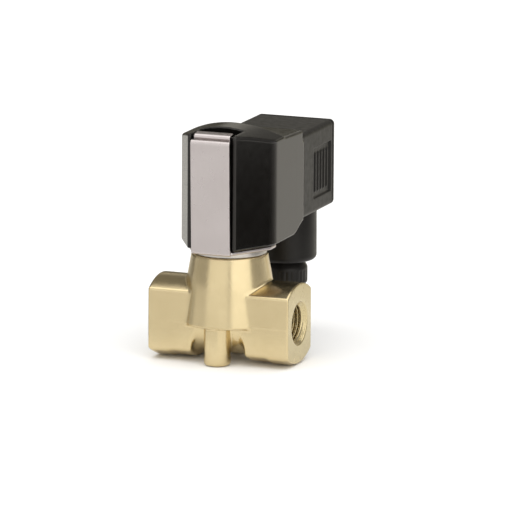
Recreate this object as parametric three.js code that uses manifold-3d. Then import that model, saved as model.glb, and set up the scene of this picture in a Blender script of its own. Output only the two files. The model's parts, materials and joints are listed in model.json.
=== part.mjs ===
// Direct-acting 2/2-way solenoid valve: forged brass body with two G1/4 ports, armature tube,
// clip-on moulded coil with a steel strap clip, and a right-angle cable connector with its gland.
//
// Units are millimetres. X is the flow axis, Y runs from the strap clip (-Y) to the connector (+Y),
// Z is up. Inside the model the valve axis is X = Y = 0 and z = 0 is the port axis; the outer group
// then puts the origin at the bottom centre of the whole valve.

import * as THREE from "three";
import { mergeVertices } from "three/addons/utils/BufferGeometryUtils.js";
import Module from "manifold-3d";

const wasm = await Module();
wasm.setup();

// ---------------------------------------------------------------- driving dimensions

const BODY_LENGTH = 50; // port face to port face
const BODY_HALF_WIDTH = 11.25; // half of the width over the spanner flats
const FLAT_HALF_HEIGHT = 10.1; // the flats end here, the arches start
const ARCH_HEIGHT = 13.5; // port axis to the top and bottom of the arched wings
const BASE_DEPTH = 13.9; // port axis to the resting plane
const COLLAR_FROM = 17.6; // resting collars under the wings, from here
const COLLAR_TO = 23.8; // to here along X
const BARREL_R = 11.8; // round barrel between the wings

const CONE_BOTTOM_Z = -1.1;
const CONE_BOTTOM_R = 16;
const CONE_MIDDLE_Z = 13;
const CONE_MIDDLE_R = 14.5;
const CONE_TOP_Z = 22.5;
const CONE_TOP_R = 12.8;

const BOSS_Y = 11.2; // mounting bosses, front and back
const BOSS_R = 4.5;
const BOSS_HOLE_R = 2.1; // M5 core hole
const BOSS_HOLE_DEPTH = 8;

const PORT_CORE_R = 5.75; // G1/4 core
const PORT_CHAMFER_R = 7.5;
const PORT_DEPTH = 12;
const ORIFICE_R = 2;
const SEAT_Z = 3; // height of the sealing edge
const CHAMBER_R = 8;
const CHAMBER_FLOOR_Z = 1;
const SHOULDER_Z = 17; // the guide tube's flange sits above this shoulder
const BONNET_BORE_R = 10;

const TUBE_R = 4.75; // armature guide tube, outside
const TUBE_BORE_R = 4.25;
const TUBE_TOP_Z = 58.6;
const FLANGE_R = 9.7;
const ARMATURE_R = 4.2; // 0.05 mm running clearance
const STROKE = 2;
const ARMATURE_TOP_Z = 42.4;
const CORE_BOTTOM_Z = ARMATURE_TOP_Z + STROKE + 0.1;
const FOOT_TOP_Z = 6;
const FOOT_R = 6.2;

const SPRING_R = 5.35; // mean radius
const SPRING_WIRE_R = 0.4;
const SPRING_TURNS = 5;

const COIL_BOTTOM_Z = 26.2;
const COIL_TOP_Z = 65.9;
const CROWN_R = 32; // the coil's top is a shallow dome across X
const COIL_FRONT_Y = -17.3;
const COIL_FRONT_HALF = 8.4;
const COIL_HALF = 16.7;
const COIL_CORNER_Y = -2.5;
const COIL_BACK_Y = 26;
const COIL_CAVITY_R = 13.1;
const COIL_CAVITY_TOP = 58.2;
const CHANNEL_HALF = 7.3; // recess for the strap in the coil's front
const CHANNEL_FLOOR_Y = -15.6;
const SLOT_HALF = 7.3; // slot behind the strap's lip
const SLOT_FRONT_Y = -14.1;
const SLOT_BACK_Y = -6.9;
const SLOT_DEPTH = 5.7;

const STRAP_HALF = 6.9;
const STRAP_FRONT_Y = -19.3;

const CONN_HALF = 14;
const CONN_BOTTOM_Z = 28.4;
const CONN_TOP_Z = 57.9;
const CONN_FRONT_Y = 27.8;
const CONN_SPLIT_Y = 60.3;
const CONN_BACK_Y = 62.6;
const CONN_WALL = 2;
const CONN_MID_Z = 42.95; // the screw's height, and the middle of the contacts
const GLAND_Y = 51.3;
const GLAND_R = 11.2;
const GLAND_BOTTOM_Z = 10.4;
const GLAND_BORE_R = 7.2;
const NUT_R = 8.1;
const NUT_TOP_Z = 9.8;
const NUT_CHAMFER = 2;
const NUT_BOTTOM_Z = 2;
const CABLE_R = 3.6;

const PIN_SPACING = 9; // contacts 1 and 2 sit at X = +-9
const PIN_DROP = 6; // below the connector's centre
const EARTH_RISE = 8; // above it

// ---------------------------------------------------------------- materials

const BRASS = { color: 0xc9b27c, roughness: 0.42, metalness: 1 };
const STEEL = { color: 0xbab2ac, roughness: 0.35, metalness: 1 };
const STAINLESS = { color: 0xc4c4c4, roughness: 0.3, metalness: 1 };
const IRON = { color: 0x8f8f90, roughness: 0.4, metalness: 1 };
const COPPER = { color: 0xb8704a, roughness: 0.35, metalness: 1 };
const ZINC = { color: 0xb9bcc0, roughness: 0.3, metalness: 1 };
const BLACK_GLOSS = { color: 0x161412, roughness: 0.22, metalness: 0 };
const BLACK_SATIN = { color: 0x1e1c1a, roughness: 0.45, metalness: 0 };
const NYLON = { color: 0xd8d2c0, roughness: 0.5, metalness: 0 };
const RUBBER = { color: 0x232323, roughness: 0.8, metalness: 0 };
const SEAL_GREEN = { color: 0x2c4a38, roughness: 0.7, metalness: 0 };

// ---------------------------------------------------------------- geometry helpers

// Welds the vertices, drops triangles that have closed up, and makes the faces point out.
function toSolid(geometry) {
  const bare = geometry.clone();
  bare.deleteAttribute("normal");
  bare.deleteAttribute("uv");
  const merged = mergeVertices(bare, 1e-4);
  const points = merged.attributes.position;
  const corner = (i) => new THREE.Vector3().fromBufferAttribute(points, i);
  const triangles = [];
  let volume = 0;
  for (let i = 0; i < merged.index.count; i += 3) {
    const [a, b, c] = [0, 1, 2].map((k) => merged.index.getX(i + k));
    if (a !== b && b !== c && c !== a) {
      triangles.push([a, b, c]);
      volume += corner(a).dot(corner(b).cross(corner(c)));
    }
  }
  const facing = volume < 0 ? triangles.map(([a, b, c]) => [a, c, b]) : triangles;
  return new wasm.Manifold(
    new wasm.Mesh({
      numProp: 3,
      vertProperties: new Float32Array(points.array),
      triVerts: new Uint32Array(facing.flat()),
    }),
  );
}

function toGeometry(solid) {
  const mesh = solid.getMesh();
  const geometry = new THREE.BufferGeometry();
  geometry.setAttribute("position", new THREE.BufferAttribute(mesh.vertProperties, 3));
  geometry.setIndex(new THREE.BufferAttribute(mesh.triVerts, 1));
  geometry.computeVertexNormals();
  return geometry;
}

function shapeOf(points) {
  return new THREE.Shape(points.map(([a, b]) => new THREE.Vector2(a, b)));
}

// Plan outline (x, y) raised from z0 to z1.
function prismZ(points, z0, z1) {
  const geometry = new THREE.ExtrudeGeometry(shapeOf(points), { depth: z1 - z0, bevelEnabled: false });
  return toSolid(geometry.translate(0, 0, z0));
}

// Side outline (y, z) run from x0 to x1.
function prismX(points, x0, x1) {
  const geometry = new THREE.ExtrudeGeometry(shapeOf(points), { depth: x1 - x0, bevelEnabled: false });
  const turn = new THREE.Matrix4().makeBasis(
    new THREE.Vector3(0, 1, 0),
    new THREE.Vector3(0, 0, 1),
    new THREE.Vector3(1, 0, 0),
  );
  return toSolid(geometry.applyMatrix4(turn).translate(x0, 0, 0));
}

// Front outline (x, z) run from y0 to y1.
function prismY(points, y0, y1) {
  const geometry = new THREE.ExtrudeGeometry(shapeOf(points), { depth: y1 - y0, bevelEnabled: false });
  const turn = new THREE.Matrix4().makeBasis(
    new THREE.Vector3(1, 0, 0),
    new THREE.Vector3(0, 0, 1),
    new THREE.Vector3(0, -1, 0),
  );
  return toSolid(geometry.applyMatrix4(turn).translate(0, y1, 0));
}

function box(x0, x1, y0, y1, z0, z1) {
  const geometry = new THREE.BoxGeometry(x1 - x0, y1 - y0, z1 - z0);
  return toSolid(geometry.translate((x0 + x1) / 2, (y0 + y1) / 2, (z0 + z1) / 2));
}

// Profile (radius, z) turned about the vertical line through (x, y); it closes on itself,
// or starts and ends on the axis.
function turnZ(profile, segments, x = 0, y = 0) {
  const onAxis = profile[0][0] === 0 && profile[profile.length - 1][0] === 0;
  const outline = onAxis ? profile : [...profile, profile[0]];
  const points = outline.map(([r, z]) => new THREE.Vector2(r, z));
  const geometry = new THREE.LatheGeometry(points, segments).rotateX(Math.PI / 2);
  return toSolid(geometry.translate(x, y, 0));
}

// Profile (radius, distance along the axis) turned about a line along +X, at height z.
function turnX(profile, segments, z = 0) {
  const points = profile.map(([r, d]) => new THREE.Vector2(r, d));
  const geometry = new THREE.LatheGeometry(points, segments).rotateZ(-Math.PI / 2);
  return toSolid(geometry.translate(0, 0, z));
}

// The same about a line along +Y through (x, z).
function turnY(profile, segments, x, z) {
  const points = profile.map(([r, d]) => new THREE.Vector2(r, d));
  return toSolid(new THREE.LatheGeometry(points, segments).translate(x, 0, z));
}

const rod = (r, a, b) => [
  [0, a],
  [r, a],
  [r, b],
  [0, b],
];

const ring = (inner, outer, z0, z1) => [
  [inner, z0],
  [outer, z0],
  [outer, z1],
  [inner, z1],
];

// Closed outline with each corner rounded by its own radius.
function roundedOutline(corners, steps) {
  const out = [];
  corners.forEach(([x, y, r], i) => {
    if (!r) {
      out.push([x, y]);
      return;
    }
    const [px, py] = corners[(i + corners.length - 1) % corners.length];
    const [nx, ny] = corners[(i + 1) % corners.length];
    const a = new THREE.Vector2(px - x, py - y).normalize();
    const b = new THREE.Vector2(nx - x, ny - y).normalize();
    const half = Math.acos(THREE.MathUtils.clamp(a.dot(b), -1, 1)) / 2;
    const reach = r / Math.tan(half);
    const middle = a.clone().add(b).normalize().multiplyScalar(r / Math.sin(half));
    const from = a.clone().multiplyScalar(reach).sub(middle);
    const to = b.clone().multiplyScalar(reach).sub(middle);
    let sweep = to.angle() - from.angle();
    if (sweep > Math.PI) sweep -= 2 * Math.PI;
    if (sweep < -Math.PI) sweep += 2 * Math.PI;
    for (let k = 0; k <= steps; k += 1) {
      const turned = from.clone().rotateAround(new THREE.Vector2(0, 0), (sweep * k) / steps);
      out.push([x + middle.x + turned.x, y + middle.y + turned.y]);
    }
  });
  return out;
}

function roundedRect(a0, a1, b0, b1, r, steps = 3) {
  const corners = [
    [a0, b0, r],
    [a1, b0, r],
    [a1, b1, r],
    [a0, b1, r],
  ];
  return roundedOutline(corners, steps);
}

function piece(name, solid, look) {
  const mesh = new THREE.Mesh(toGeometry(solid), new THREE.MeshStandardMaterial(look));
  mesh.name = name;
  return mesh;
}

// ---------------------------------------------------------------- brass body

// Wing cross-section (y, z): flat sides, arched top and bottom.
function wingSection(bottomPeak) {
  const steps = 12;
  const arch = (peak, sign) => {
    const rise = peak - FLAT_HALF_HEIGHT;
    const radius = (BODY_HALF_WIDTH ** 2 + rise ** 2) / (2 * rise);
    const half = Math.asin(BODY_HALF_WIDTH / radius);
    return Array.from({ length: steps + 1 }, (_, k) => {
      const angle = -half + (2 * half * k) / steps;
      return [-sign * radius * Math.sin(angle), sign * (peak - radius + radius * Math.cos(angle))];
    });
  };
  return [...arch(bottomPeak, -1), ...arch(ARCH_HEIGHT, 1)];
}

function portCutter() {
  const face = BODY_LENGTH / 2;
  const chamfer = PORT_CHAMFER_R - PORT_CORE_R;
  return turnX(
    [
      [0, face - PORT_DEPTH - 2],
      [PORT_CORE_R, face - PORT_DEPTH],
      [PORT_CORE_R, face - chamfer],
      [PORT_CHAMFER_R + 0.5, face + 0.5],
      [0, face + 0.5],
    ],
    32,
  );
}

function flowPassages() {
  const outlet = turnX(rod(2.6, -2, BODY_LENGTH / 2 - PORT_DEPTH), 16, -1.8);
  const orifice = turnZ(rod(3.3, -2, SEAT_Z - 1), 16);
  const slope = new THREE.CylinderGeometry(2.6, 2.6, 12, 16);
  slope.rotateX(Math.PI / 2).rotateY(1.134).translate(-9.3, 0, 1.3);
  return outlet.add(orifice).add(toSolid(slope));
}

function bonnetCavity() {
  return turnZ(
    [
      [0, CHAMBER_FLOOR_Z],
      [CHAMBER_R, CHAMBER_FLOOR_Z],
      [CHAMBER_R, SHOULDER_Z],
      [BONNET_BORE_R, SHOULDER_Z],
      [BONNET_BORE_R, CONE_TOP_Z + 1],
      [0, CONE_TOP_Z + 1],
    ],
    40,
  );
}

function boss(side) {
  const profile = [
    [0, -BASE_DEPTH],
    [BOSS_R - 0.9, -BASE_DEPTH],
    [BOSS_R - 0.25, -BASE_DEPTH + 0.3],
    [BOSS_R, -BASE_DEPTH + 0.95],
    [BOSS_R, 0],
    [0, 0],
  ];
  return turnZ(profile, 28, 0, side * BOSS_Y);
}

function bossHole(side) {
  const profile = [
    [0, -BASE_DEPTH - 1],
    [BOSS_HOLE_R + 1.4, -BASE_DEPTH - 1],
    [BOSS_HOLE_R, -BASE_DEPTH + 0.4],
    [BOSS_HOLE_R, -BASE_DEPTH + BOSS_HOLE_DEPTH],
    [0, -BASE_DEPTH + BOSS_HOLE_DEPTH + 1.2],
  ];
  return turnZ(profile, 20, 0, side * BOSS_Y);
}

function valveBody() {
  const half = BODY_LENGTH / 2;
  let body = prismX(wingSection(ARCH_HEIGHT), -half, half);
  for (const side of [-1, 1]) {
    const ends = side > 0 ? [COLLAR_FROM, COLLAR_TO] : [-COLLAR_TO, -COLLAR_FROM];
    body = body.add(prismX(wingSection(BASE_DEPTH), ...ends));
  }
  // relief between the wings, down to the round barrel about the port axis
  const relief = [
    [-8.3, 4],
    [-8.3, 0],
    [-10, -16],
    [10, -16],
    [8.3, 0],
    [8.3, 4],
  ];
  const barrel = turnX(rod(BARREL_R, -12, 12), 48);
  body = body.subtract(prismY(relief, -20, 20).subtract(barrel));
  const cone = [
    [0, CONE_BOTTOM_Z],
    [CONE_BOTTOM_R, CONE_BOTTOM_Z],
    [CONE_MIDDLE_R, CONE_MIDDLE_Z],
    [CONE_TOP_R, CONE_TOP_Z],
    [0, CONE_TOP_Z],
  ];
  body = body.add(turnZ(cone, 48)).add(boss(-1)).add(boss(1));
  const port = portCutter();
  body = body.subtract(port).subtract(port.rotate([0, 0, 180]));
  return body.subtract(bonnetCavity()).subtract(flowPassages()).subtract(bossHole(-1)).subtract(bossHole(1));
}

// Seat nozzle pressed into the chamber floor; its top edge is the sealing edge.
function valveSeat() {
  return turnZ(
    [
      [ORIFICE_R, -1.4],
      [3, -1.4],
      [3, 1.3],
      [4.6, 1.3],
      [4.6, 1.9],
      [2.9, SEAT_Z],
      [ORIFICE_R, SEAT_Z],
    ],
    24,
  );
}

// ---------------------------------------------------------------- armature system

function guideTube() {
  return turnZ(
    [
      [0, TUBE_TOP_Z - 0.7],
      [TUBE_BORE_R, TUBE_TOP_Z - 0.7],
      [TUBE_BORE_R, SHOULDER_Z + 0.3],
      [FLANGE_R, SHOULDER_Z + 0.3],
      [FLANGE_R, 18.1],
      [8.5, 18.1],
      [8.5, 19.4],
      [FLANGE_R, 19.4],
      [FLANGE_R, 20],
      [TUBE_R + 0.6, 20],
      [TUBE_R, 20.6],
      [TUBE_R, TUBE_TOP_Z - 0.6],
      [TUBE_R - 0.6, TUBE_TOP_Z],
      [0, TUBE_TOP_Z],
    ],
    28,
  );
}

function tubeNut() {
  let nut = turnZ(ring(TUBE_R + 0.85, BONNET_BORE_R - 0.3, 20.3, 22.6), 28);
  for (const turn of [0, 90]) {
    nut = nut.subtract(box(-12, 12, -1, 1, 21.8, 24).rotate([0, 0, turn]));
  }
  return nut;
}

function tubeSealRing() {
  const section = Array.from({ length: 8 }, (_, k) => {
    const angle = (2 * Math.PI * k) / 8;
    return [9.2 + 0.55 * Math.cos(angle), 18.75 + 0.55 * Math.sin(angle)];
  });
  return turnZ(section, 24);
}

function armature() {
  const sealPocket = 3.6;
  return turnZ(
    [
      [0, 5.25],
      [sealPocket, 5.25],
      [sealPocket, 3.5],
      [FOOT_R - 0.4, 3.5],
      [FOOT_R, 3.9],
      [FOOT_R, FOOT_TOP_Z],
      [ARMATURE_R, FOOT_TOP_Z],
      [ARMATURE_R, ARMATURE_TOP_Z - 0.4],
      [ARMATURE_R - 0.4, ARMATURE_TOP_Z],
      [0, ARMATURE_TOP_Z],
    ],
    28,
  );
}

function fixedCore() {
  return turnZ(
    [
      [0, CORE_BOTTOM_Z],
      [2.2, CORE_BOTTOM_Z],
      [2.2, CORE_BOTTOM_Z + 1.4],
      [3.2, CORE_BOTTOM_Z + 1.4],
      [3.2, CORE_BOTTOM_Z],
      [TUBE_BORE_R - 0.05, CORE_BOTTOM_Z],
      [TUBE_BORE_R - 0.05, TUBE_TOP_Z - 1],
      [0, TUBE_TOP_Z - 1],
    ],
    28,
  );
}

class Helix extends THREE.Curve {
  constructor(radius, z0, z1, turns) {
    super();
    Object.assign(this, { radius, z0, z1, turns });
  }

  getPoint(t, target = new THREE.Vector3()) {
    const angle = 2 * Math.PI * this.turns * t;
    const height = this.z0 + (this.z1 - this.z0) * t;
    return target.set(this.radius * Math.cos(angle), this.radius * Math.sin(angle), height);
  }
}

function returnSpring() {
  const start = FOOT_TOP_Z + SPRING_WIRE_R + 0.1;
  const end = SHOULDER_Z + 0.3 - SPRING_WIRE_R - 0.1;
  const wire = Array.from({ length: 6 }, (_, k) => {
    const angle = (2 * Math.PI * k) / 6;
    return [SPRING_WIRE_R * Math.cos(angle), SPRING_WIRE_R * Math.sin(angle)];
  });
  const path = new Helix(SPRING_R, start, end, SPRING_TURNS);
  const options = { steps: 14 * SPRING_TURNS, bevelEnabled: false, extrudePath: path };
  return toSolid(new THREE.ExtrudeGeometry(shapeOf(wire), options));
}

// ---------------------------------------------------------------- coil

// Plan outline (x, y): narrow front, wide back, softly rounded long edges.
function coilPlan(inset = 0) {
  const front = COIL_FRONT_HALF - inset * 0.6;
  const side = COIL_HALF - inset;
  const corners = [
    [-front, COIL_FRONT_Y + inset, 0.9],
    [front, COIL_FRONT_Y + inset, 0.9],
    [side, COIL_CORNER_Y + inset * 0.3, 4],
    [side, COIL_BACK_Y - inset, 0.5],
    [-side, COIL_BACK_Y - inset, 0.5],
    [-side, COIL_CORNER_Y + inset * 0.3, 4],
  ];
  return roundedOutline(corners, 4);
}

// Side outline (y, z): stepped top falling to the back, bottom sweeping up at the back.
function coilSide() {
  const sweep = Array.from({ length: 7 }, (_, k) => {
    const t = k / 6;
    return [16 + 10.5 * t, COIL_BOTTOM_Z + 3.4 * (3 * t * t - 2 * t * t * t)];
  });
  return [
    [-30, COIL_BOTTOM_Z],
    ...sweep,
    [30, COIL_BOTTOM_Z + 3.4],
    [30, 60.4],
    [6.8, 61.2],
    [3.8, COIL_TOP_Z - 0.3],
    [3.2, COIL_TOP_Z],
    [-30, COIL_TOP_Z],
  ];
}

// Front outline (x, z): the domed crown.
function coilFront() {
  const crown = Array.from({ length: 11 }, (_, k) => {
    const x = 20 - 4 * k;
    return [x, COIL_TOP_Z - (x * x) / (2 * CROWN_R)];
  });
  return [[-20, 20], [20, 20], ...crown];
}

// Chamfered upper corners of the coil's back end (x, z).
function coilBackEnd() {
  return [
    [-20, 20],
    [20, 20],
    [20, 52.2],
    [13.6, 60.6],
    [13.6, 70],
    [-13.6, 70],
    [-13.6, 60.6],
    [-20, 52.2],
  ];
}

function pinPlaces() {
  return [
    { name: "1", x: -PIN_SPACING, z: CONN_MID_Z - PIN_DROP, turned: false },
    { name: "2", x: PIN_SPACING, z: CONN_MID_Z - PIN_DROP, turned: false },
    { name: "earth", x: 0, z: CONN_MID_Z + EARTH_RISE, turned: true },
  ];
}

// Upright block, or lying when turned, centred on a contact.
function contactBlock(place, width, height, y0, y1) {
  const [w, h] = place.turned ? [height, width] : [width, height];
  return box(place.x - w / 2, place.x + w / 2, y0, y1, place.z - h / 2, place.z + h / 2);
}

function coilHousing() {
  let shell = prismZ(coilPlan(), COIL_BOTTOM_Z, COIL_TOP_Z)
    .intersect(prismX(coilSide(), -20, 20))
    .intersect(prismY(coilFront(), -20, 27));
  const back = box(-20, 20, 24.2, 30, 20, 70).subtract(prismY(coilBackEnd(), 20, 40));
  shell = shell.subtract(back);
  // strap channel and slot in the front
  const wallTop = 64.2;
  shell = shell
    .subtract(box(-CHANNEL_HALF, CHANNEL_HALF, -30, CHANNEL_FLOOR_Y, 20, 70))
    .subtract(box(-CHANNEL_HALF, CHANNEL_HALF, -30, SLOT_FRONT_Y + 0.7, wallTop, 70))
    .subtract(
      box(-SLOT_HALF, SLOT_HALF, SLOT_FRONT_Y - 0.3, SLOT_BACK_Y, COIL_TOP_Z - SLOT_DEPTH, 70),
    );
  // winding chamber open at the bottom, with a blind bore for the guide tube's end
  shell = shell
    .subtract(turnZ(rod(COIL_CAVITY_R, 20, COIL_CAVITY_TOP), 40))
    .subtract(turnZ(rod(TUBE_R + 0.4, 50, TUBE_TOP_Z + 0.8), 24));
  // pockets for the contact blades and the connector screw
  for (const place of pinPlaces()) {
    shell = shell.subtract(contactBlock(place, 1.4, 7, 20.4, 40));
  }
  return shell.subtract(turnY(rod(1.8, 19.5, 40), 16, 0, CONN_MID_Z));
}

function coilBaseCover() {
  return turnZ(ring(7.6, COIL_CAVITY_R - 0.3, COIL_BOTTOM_Z + 0.1, 27.7), 36);
}

function bobbin() {
  return turnZ(
    [
      [5.15, 30],
      [12, 30],
      [12, 31],
      [6, 31],
      [6, 55.2],
      [12, 55.2],
      [12, 56.2],
      [5.15, 56.2],
    ],
    24,
  );
}

// ---------------------------------------------------------------- strap clip

// Steel plate under the coil, its outline following the coil.
function clipBasePlate() {
  const corners = [
    [-6.9, -16.5, 0.5],
    [6.9, -16.5, 0.5],
    [15.4, -1.9, 2],
    [15.4, 3, 2.5],
    [9.5, 11.5, 3],
    [-9.5, 11.5, 3],
    [-15.4, 3, 2.5],
    [-15.4, -1.9, 2],
  ];
  return prismZ(roundedOutline(corners, 3), 24.5, 25.7).subtract(turnZ(rod(TUBE_R + 0.35, 20, 30), 28));
}

// Side outline (y, z) of the strap: upright plate, shelf, bead and lip.
function clipStrap() {
  return prismX(
    [
      [-17, 24.2],
      [-17.95, 61.8],
      [-17.75, 62.15],
      [-16.4, 62.3],
      [-16.3, 63.5],
      [-16, 64.1],
      [-15.4, 64.55],
      [-14.6, 64.85],
      [-13.8, 64.95],
      [-13.8, 65.55],
      [-14.3, 65.55],
      [-15.1, 65.4],
      [-15.8, 65.2],
      [-16.5, 64.85],
      [-17.05, 64.3],
      [-17.25, 63.7],
      [-17.4, 63.3],
      [-18.8, 63.3],
      [-19.15, 63.15],
      [STRAP_FRONT_Y, 62.7],
      [-18.2, 24.2],
    ],
    -STRAP_HALF,
    STRAP_HALF,
  );
}

function retainingRing() {
  const gap = box(-1, 1, 0, 10, 20, 30);
  return turnZ(ring(TUBE_R + 0.15, 6.9, 26.1, 27), 28).subtract(gap);
}

// ---------------------------------------------------------------- connector

function connectorOutline(inset) {
  const r = Math.max(1.8 - inset, 0.4);
  return roundedRect(
    -CONN_HALF + inset,
    CONN_HALF - inset,
    CONN_BOTTOM_Z + inset,
    CONN_TOP_Z - inset,
    r,
  );
}

function glandTube() {
  return turnZ(
    [
      [0, GLAND_BOTTOM_Z],
      [GLAND_R - 1.8, GLAND_BOTTOM_Z],
      [GLAND_R - 0.5, GLAND_BOTTOM_Z + 0.55],
      [GLAND_R, GLAND_BOTTOM_Z + 1.8],
      [GLAND_R, CONN_BOTTOM_Z + 4],
      [0, CONN_BOTTOM_Z + 4],
    ],
    36,
    0,
    GLAND_Y,
  );
}

// Recessed panel in each side of the connector.
function sidePanel(side) {
  const outline = roundedRect(42.2, 58.9, 33.7, 51, 0.8, 2);
  const depth = 0.6;
  return side > 0
    ? prismX(outline, CONN_HALF - depth, CONN_HALF + 1)
    : prismX(outline, -CONN_HALF - 1, -CONN_HALF + depth);
}

function connectorHousing() {
  let shell = prismY(connectorOutline(0), CONN_FRONT_Y, CONN_SPLIT_Y);
  const tube = glandTube().subtract(box(-20, 20, CONN_SPLIT_Y, 70, CONN_BOTTOM_Z - 0.3, 60));
  shell = shell.add(tube);
  shell = shell.subtract(sidePanel(1)).subtract(sidePanel(-1));
  shell = shell.subtract(prismY(connectorOutline(CONN_WALL), CONN_FRONT_Y - 1, CONN_SPLIT_Y + 1));
  const bore = [
    [0, GLAND_BOTTOM_Z - 1],
    [GLAND_BORE_R, GLAND_BOTTOM_Z - 1],
    [GLAND_BORE_R, 25.7],
    [5.2, 26.4],
    [5.2, CONN_BOTTOM_Z + 5],
    [0, CONN_BOTTOM_Z + 5],
  ];
  return shell.subtract(turnZ(bore, 32, 0, GLAND_Y));
}

// Lid over the connector's back, carrying the back of the gland tube's wall.
function connectorCover() {
  const lid = prismY(connectorOutline(0), CONN_SPLIT_Y + 0.3, CONN_BACK_Y);
  const recess = turnY(rod(4.2, CONN_SPLIT_Y + 1.3, CONN_BACK_Y + 1), 24, 0, CONN_MID_Z);
  return lid.subtract(recess).subtract(turnY(rod(1.9, 50, 70), 16, 0, CONN_MID_Z));
}

function connectorScrew() {
  const head = CONN_SPLIT_Y + 1.4;
  const screw = turnY(
    [
      [0, 21],
      [1.1, 21],
      [1.45, 21.4],
      [1.45, head],
      [2.9, head],
      [2.9, head + 0.5],
      [2.4, head + 0.85],
      [0, head + 0.85],
    ],
    20,
    0,
    CONN_MID_Z,
  );
  const slot = box(-4, 4, head + 0.45, head + 3, CONN_MID_Z - 0.35, CONN_MID_Z + 0.35);
  return screw.subtract(slot);
}

function connectorGasket() {
  const plate = prismY(roundedRect(-13.4, 13.4, 29.8, 56.9, 2), 26.3, 27.5);
  let gasket = plate.subtract(turnY(rod(2.1, 20, 30), 16, 0, CONN_MID_Z));
  for (const place of pinPlaces()) {
    gasket = gasket.subtract(contactBlock(place, 2.2, 7.6, 20, 30));
  }
  return gasket;
}

function terminalBlock() {
  let block = prismY(roundedRect(-11.6, 11.6, 30.8, 55.1, 1), 28.2, 44).subtract(
    turnY(rod(2, 20, 50), 16, 0, CONN_MID_Z),
  );
  for (const place of pinPlaces()) {
    block = block.subtract(contactBlock(place, 4.6, 8.4, 20, 42));
  }
  return block;
}

function contactSocket(place) {
  return contactBlock(place, 4, 7.8, 28.6, 41.7).subtract(contactBlock(place, 1.3, 6.9, 20, 39));
}

function contactBlade(place) {
  return contactBlock(place, 0.8, 6.3, 20.8, 36.4);
}

function glandSeal() {
  return turnZ(ring(CABLE_R + 0.1, GLAND_BORE_R - 0.3, 18, 25.2), 24, 0, GLAND_Y);
}

function glandWasher() {
  return turnZ(ring(CABLE_R + 0.3, GLAND_BORE_R - 0.3, 16.9, 17.7), 24, 0, GLAND_Y);
}

// Ribbed cap nut with a threaded shank that enters the gland tube.
function glandNut() {
  let nut = turnZ(
    [
      [CABLE_R, NUT_BOTTOM_Z],
      [NUT_R - 1, NUT_BOTTOM_Z],
      [NUT_R, NUT_BOTTOM_Z + 1],
      [NUT_R, NUT_TOP_Z - NUT_CHAMFER],
      [GLAND_BORE_R - 0.3, NUT_TOP_Z],
      [GLAND_BORE_R - 0.3, 16.6],
      [CABLE_R, 16.6],
    ],
    32,
    0,
    GLAND_Y,
  );
  for (let k = 0; k < 8; k += 1) {
    const grooveTop = NUT_TOP_Z - NUT_CHAMFER - 0.6;
    const groove = box(NUT_R - 0.35, NUT_R + 1, -0.35, 0.35, NUT_BOTTOM_Z - 1, grooveTop)
      .rotate([0, 0, k * 45 + 22.5])
      .translate([0, GLAND_Y, 0]);
    nut = nut.subtract(groove);
  }
  return nut;
}

// ---------------------------------------------------------------- assembly

const valve = new THREE.Group();
const assembly = new THREE.Group();
assembly.position.set(0, -(STRAP_FRONT_Y + CONN_BACK_Y) / 2, BASE_DEPTH);
valve.add(assembly);

const bodyGroup = new THREE.Group();
bodyGroup.add(
  piece("valve_body", valveBody(), BRASS),
  piece("valve_seat", valveSeat(), STAINLESS),
  piece("guide_tube", guideTube(), STAINLESS),
  piece("tube_nut", tubeNut(), BRASS),
  piece("tube_seal_ring", tubeSealRing(), RUBBER),
  piece("fixed_core", fixedCore(), IRON),
  piece("shading_ring", turnZ(ring(2.35, 3.05, CORE_BOTTOM_Z + 0.05, CORE_BOTTOM_Z + 1.2), 24), COPPER),
  piece("return_spring", returnSpring(), STAINLESS),
  piece("coil_washer", turnZ(ring(TUBE_R + 0.35, 12.3, 22.95, 24.1), 32), STAINLESS),
  piece("retaining_ring", retainingRing(), STEEL),
);

const armatureGroup = new THREE.Group();
armatureGroup.add(
  piece("armature", armature(), IRON),
  piece("armature_seal", turnZ(rod(3.5, SEAT_Z + 0.05, 5.2), 28), SEAL_GREEN),
);

const coilGroup = new THREE.Group();
coilGroup.add(
  piece("coil_housing", coilHousing(), BLACK_GLOSS),
  piece("coil_base_cover", coilBaseCover(), BLACK_GLOSS),
  piece("coil_bobbin", bobbin(), NYLON),
  piece("coil_winding", turnZ(ring(6.3, 11.8, 31.3, 54.9), 24), COPPER),
  piece("flux_sleeve", turnZ(ring(12.3, 12.8, 29.9, 56.3), 28), IRON),
  piece("flux_plate_lower", turnZ(ring(TUBE_R + 0.35, 12.8, 28, 29.6), 28), IRON),
  piece("flux_plate_upper", turnZ(ring(TUBE_R + 0.35, 12.8, 56.6, 57.9), 28), IRON),
  piece("clip_base_plate", clipBasePlate(), STEEL),
);

const strapGroup = new THREE.Group();
strapGroup.add(piece("clip_strap", clipStrap(), STEEL));

const connectorGroup = new THREE.Group();
connectorGroup.add(
  piece("connector_housing", connectorHousing(), BLACK_SATIN),
  piece("connector_cover", connectorCover(), BLACK_SATIN),
  piece("connector_screw", connectorScrew(), ZINC),
  piece("connector_gasket", connectorGasket(), RUBBER),
  piece("terminal_block", terminalBlock(), NYLON),
  piece("gland_seal", glandSeal(), RUBBER),
  piece("gland_washer", glandWasher(), ZINC),
  piece("gland_nut", glandNut(), BLACK_SATIN),
);
for (const place of pinPlaces()) {
  coilGroup.add(piece(`contact_blade_${place.name}`, contactBlade(place), ZINC));
  connectorGroup.add(piece(`contact_socket_${place.name}`, contactSocket(place), BRASS));
}

coilGroup.add(strapGroup, connectorGroup);
assembly.add(bodyGroup, armatureGroup, coilGroup);

export default valve;
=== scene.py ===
import json
import math

import bpy
import numpy as np
import openvdb
from mathutils import Matrix, Vector

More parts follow.
